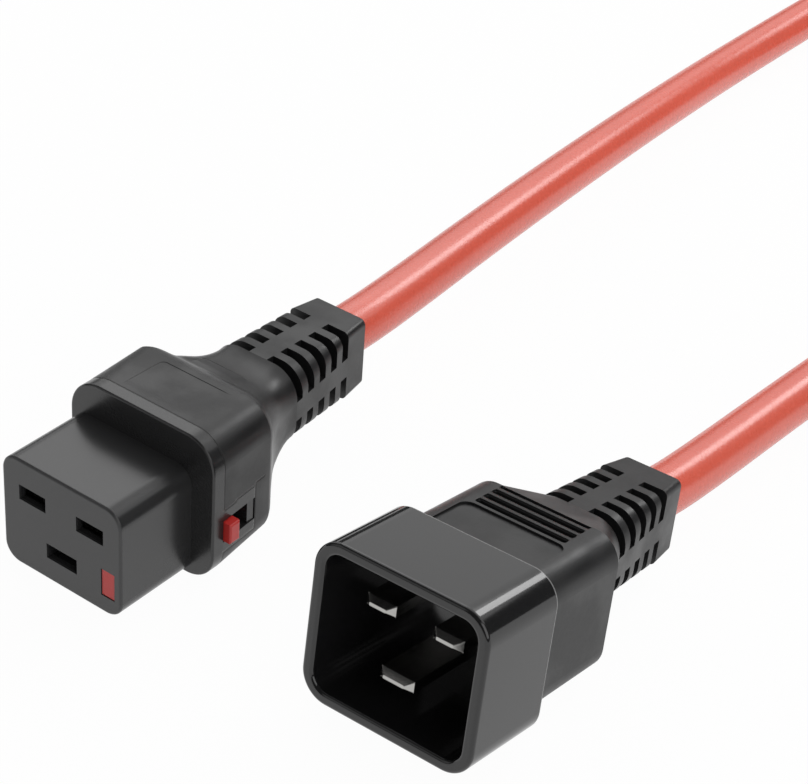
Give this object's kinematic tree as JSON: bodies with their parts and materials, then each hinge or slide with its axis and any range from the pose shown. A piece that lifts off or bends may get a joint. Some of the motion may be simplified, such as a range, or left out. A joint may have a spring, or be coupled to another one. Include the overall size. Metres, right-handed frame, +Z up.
{
  "type": "c19 power connector",
  "caption": "Locking C19 power connector with a side release button, on a round red lead that ends in a C20 plug and is coiled for storage.",
  "frame": {"origin": "on the surface the lead lies on, under the middle of the connector measured without the lead and the plug", "axes": "+X towards the release button, +Y back along the connector towards its cable, +Z up, away from the surface and towards the line and neutral row"},
  "size_m": [0.1286, 0.4215, 0.0331],
  "materials": {
    "hard_shell": "satin moulded, black",
    "carrier_moulding": "matt moulded, black",
    "overmould": "satin soft moulding, black",
    "plug_shell": "polished, black",
    "release_red": "satin, red",
    "contact_metal": "nickel plated, satin",
    "plate_steel": "bright rolled",
    "spring_steel": "drawn wire",
    "line_insulation": "satin, brown",
    "neutral_insulation": "satin, blue",
    "earth_insulation": "satin, green with a yellow stripe",
    "cable_jacket": "satin, red",
    "tie_strap": "matt, black"
  },
  "bodies": {
    "connector": {"socket_housing": "hard_shell", "contact_carrier": "carrier_moulding", "terminal_retainer": "carrier_moulding", "connector_body": "overmould", "return_spring": "spring_steel", "line_contact": "contact_metal", "neutral_contact": "contact_metal", "earth_contact": "contact_metal", "line_core": "line_insulation", "neutral_core": "neutral_insulation", "earth_core": "earth_insulation", "cord_from_socket": "cable_jacket", "cord_coil": "cable_jacket", "cord_from_plug": "cable_jacket", "coil_tie": "tie_strap", "plug_shroud": "plug_shell", "plug_body": "overmould", "pin_retainer": "carrier_moulding", "line_blade": "contact_metal", "neutral_blade": "contact_metal", "earth_blade": "contact_metal", "plug_line_core": "line_insulation", "plug_neutral_core": "neutral_insulation", "plug_earth_core": "earth_insulation"},
    "release": {"release_slider": "release_red", "release_button": "release_red"},
    "lock": {"lock_plate": "plate_steel"}
  },
  "joints": [
    {"name": "release_slide", "type": "slide", "parent": "connector", "child": "release", "axis": [0, 1, 0], "range_m": [0, 0.004], "stiffness_N_per_m": 1200, "springref_m": -0.0015, "deforming": ["return_spring"]},
    {"name": "plate_hinge", "type": "hinge", "parent": "connector", "child": "lock", "pos_m": [-0.00935, -0.0286, 0.0063], "axis": [0, 0, 1], "range_deg": [0, 8]}
  ],
  "couplings": [
    {"joint": "plate_hinge", "follows": "release_slide", "rad_per_m": 34.8}
  ]
}
